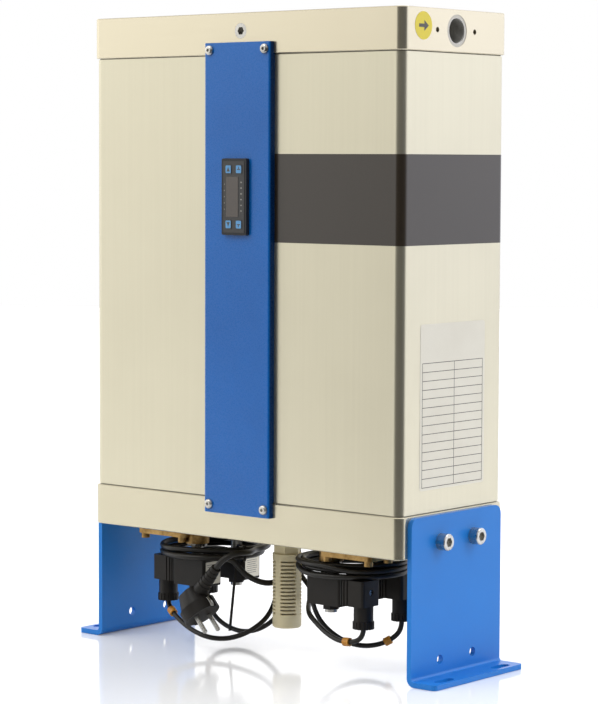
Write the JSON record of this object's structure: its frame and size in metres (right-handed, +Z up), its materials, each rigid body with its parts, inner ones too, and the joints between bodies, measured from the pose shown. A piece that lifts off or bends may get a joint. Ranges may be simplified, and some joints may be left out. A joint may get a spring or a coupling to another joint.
{
  "type": "desiccant air dryer",
  "caption": "Twin-column desiccant air dryer: two manifold blocks clamp extruded columns, with a front controller, solenoid valves and a silencer below, on bent plate legs.",
  "frame": {"origin": "floor, in the middle of the four foot slots", "axes": "+Z up, front faces -Y, +X to the right of the front"},
  "size_m": [0.46, 0.1743, 0.63],
  "materials": {
    "amber": "amber marker sleeve",
    "beige_plastic": "beige moulded plastic",
    "black_plastic": "black moulded plastic, fine grain",
    "blue_paint": "blue gloss paint on folded sheet",
    "brass": "plain brass, machined",
    "cable": "black cable sheath",
    "column": "satin anodised extrusion, warm silver",
    "desiccant": "packed beads of activated alumina",
    "grey_plastic": "dark grey moulded plastic",
    "overlay": "dark printed film with light-blue keys",
    "painted_block": "satin anodised, warm silver",
    "porous": "porous felt",
    "seal": "black rubber sheet",
    "stainless": "plain stainless steel",
    "steel": "bright zinc-plated steel"
  },
  "bodies": {
    "root": {"bed_screens": "stainless", "bed_springs": "stainless", "bottom_block": "painted_block", "cable_entry": "black_plastic", "cable_markers": "amber", "cable_tie": "black_plastic", "check_valves": "stainless", "connector_left_front": "black_plastic", "connector_left_rear": "black_plastic", "connector_right_front": "black_plastic", "connector_right_rear": "black_plastic", "connector_screws": "steel", "connector_seals": "seal", "controller": "grey_plastic", "cover_screws": "brass", "diaphragms": "seal", "front_panel": "blue_paint", "gland_nuts": "black_plastic", "key_overlay": "overlay", "left_column": "column", "left_desiccant": "desiccant", "left_leg": "blue_paint", "leg_screws": "steel", "lower_gasket": "seal", "mains_cord_coil": "cable", "mains_cord_lead": "cable", "mains_cord_tail": "cable", "mains_plug": "black_plastic", "panel_screws": "steel", "panel_spacers": "steel", "pilot_tube_left_front": "stainless", "pilot_tube_left_rear": "stainless", "pilot_tube_right_front": "stainless", "pilot_tube_right_rear": "stainless", "plug_pins": "steel", "purge_nozzle": "brass", "purge_plug": "steel", "right_column": "column", "right_desiccant": "desiccant", "right_leg": "blue_paint", "silencer": "beige_plastic", "silencer_core": "porous", "solenoid_left_front": "black_plastic", "solenoid_left_rear": "black_plastic", "solenoid_nuts": "black_plastic", "solenoid_right_front": "black_plastic", "solenoid_right_rear": "black_plastic", "tie_bolts": "steel", "top_block": "painted_block", "upper_gasket": "seal", "valve_cable_coil": "cable", "valve_cable_left_front": "cable", "valve_cable_left_rear": "cable", "valve_cable_right_front": "cable", "valve_cable_right_rear": "cable", "valve_cable_tail": "cable", "valve_cover_left_front": "brass", "valve_cover_left_rear": "brass", "valve_cover_right_front": "brass", "valve_cover_right_rear": "brass"}
  },
  "joints": []
}
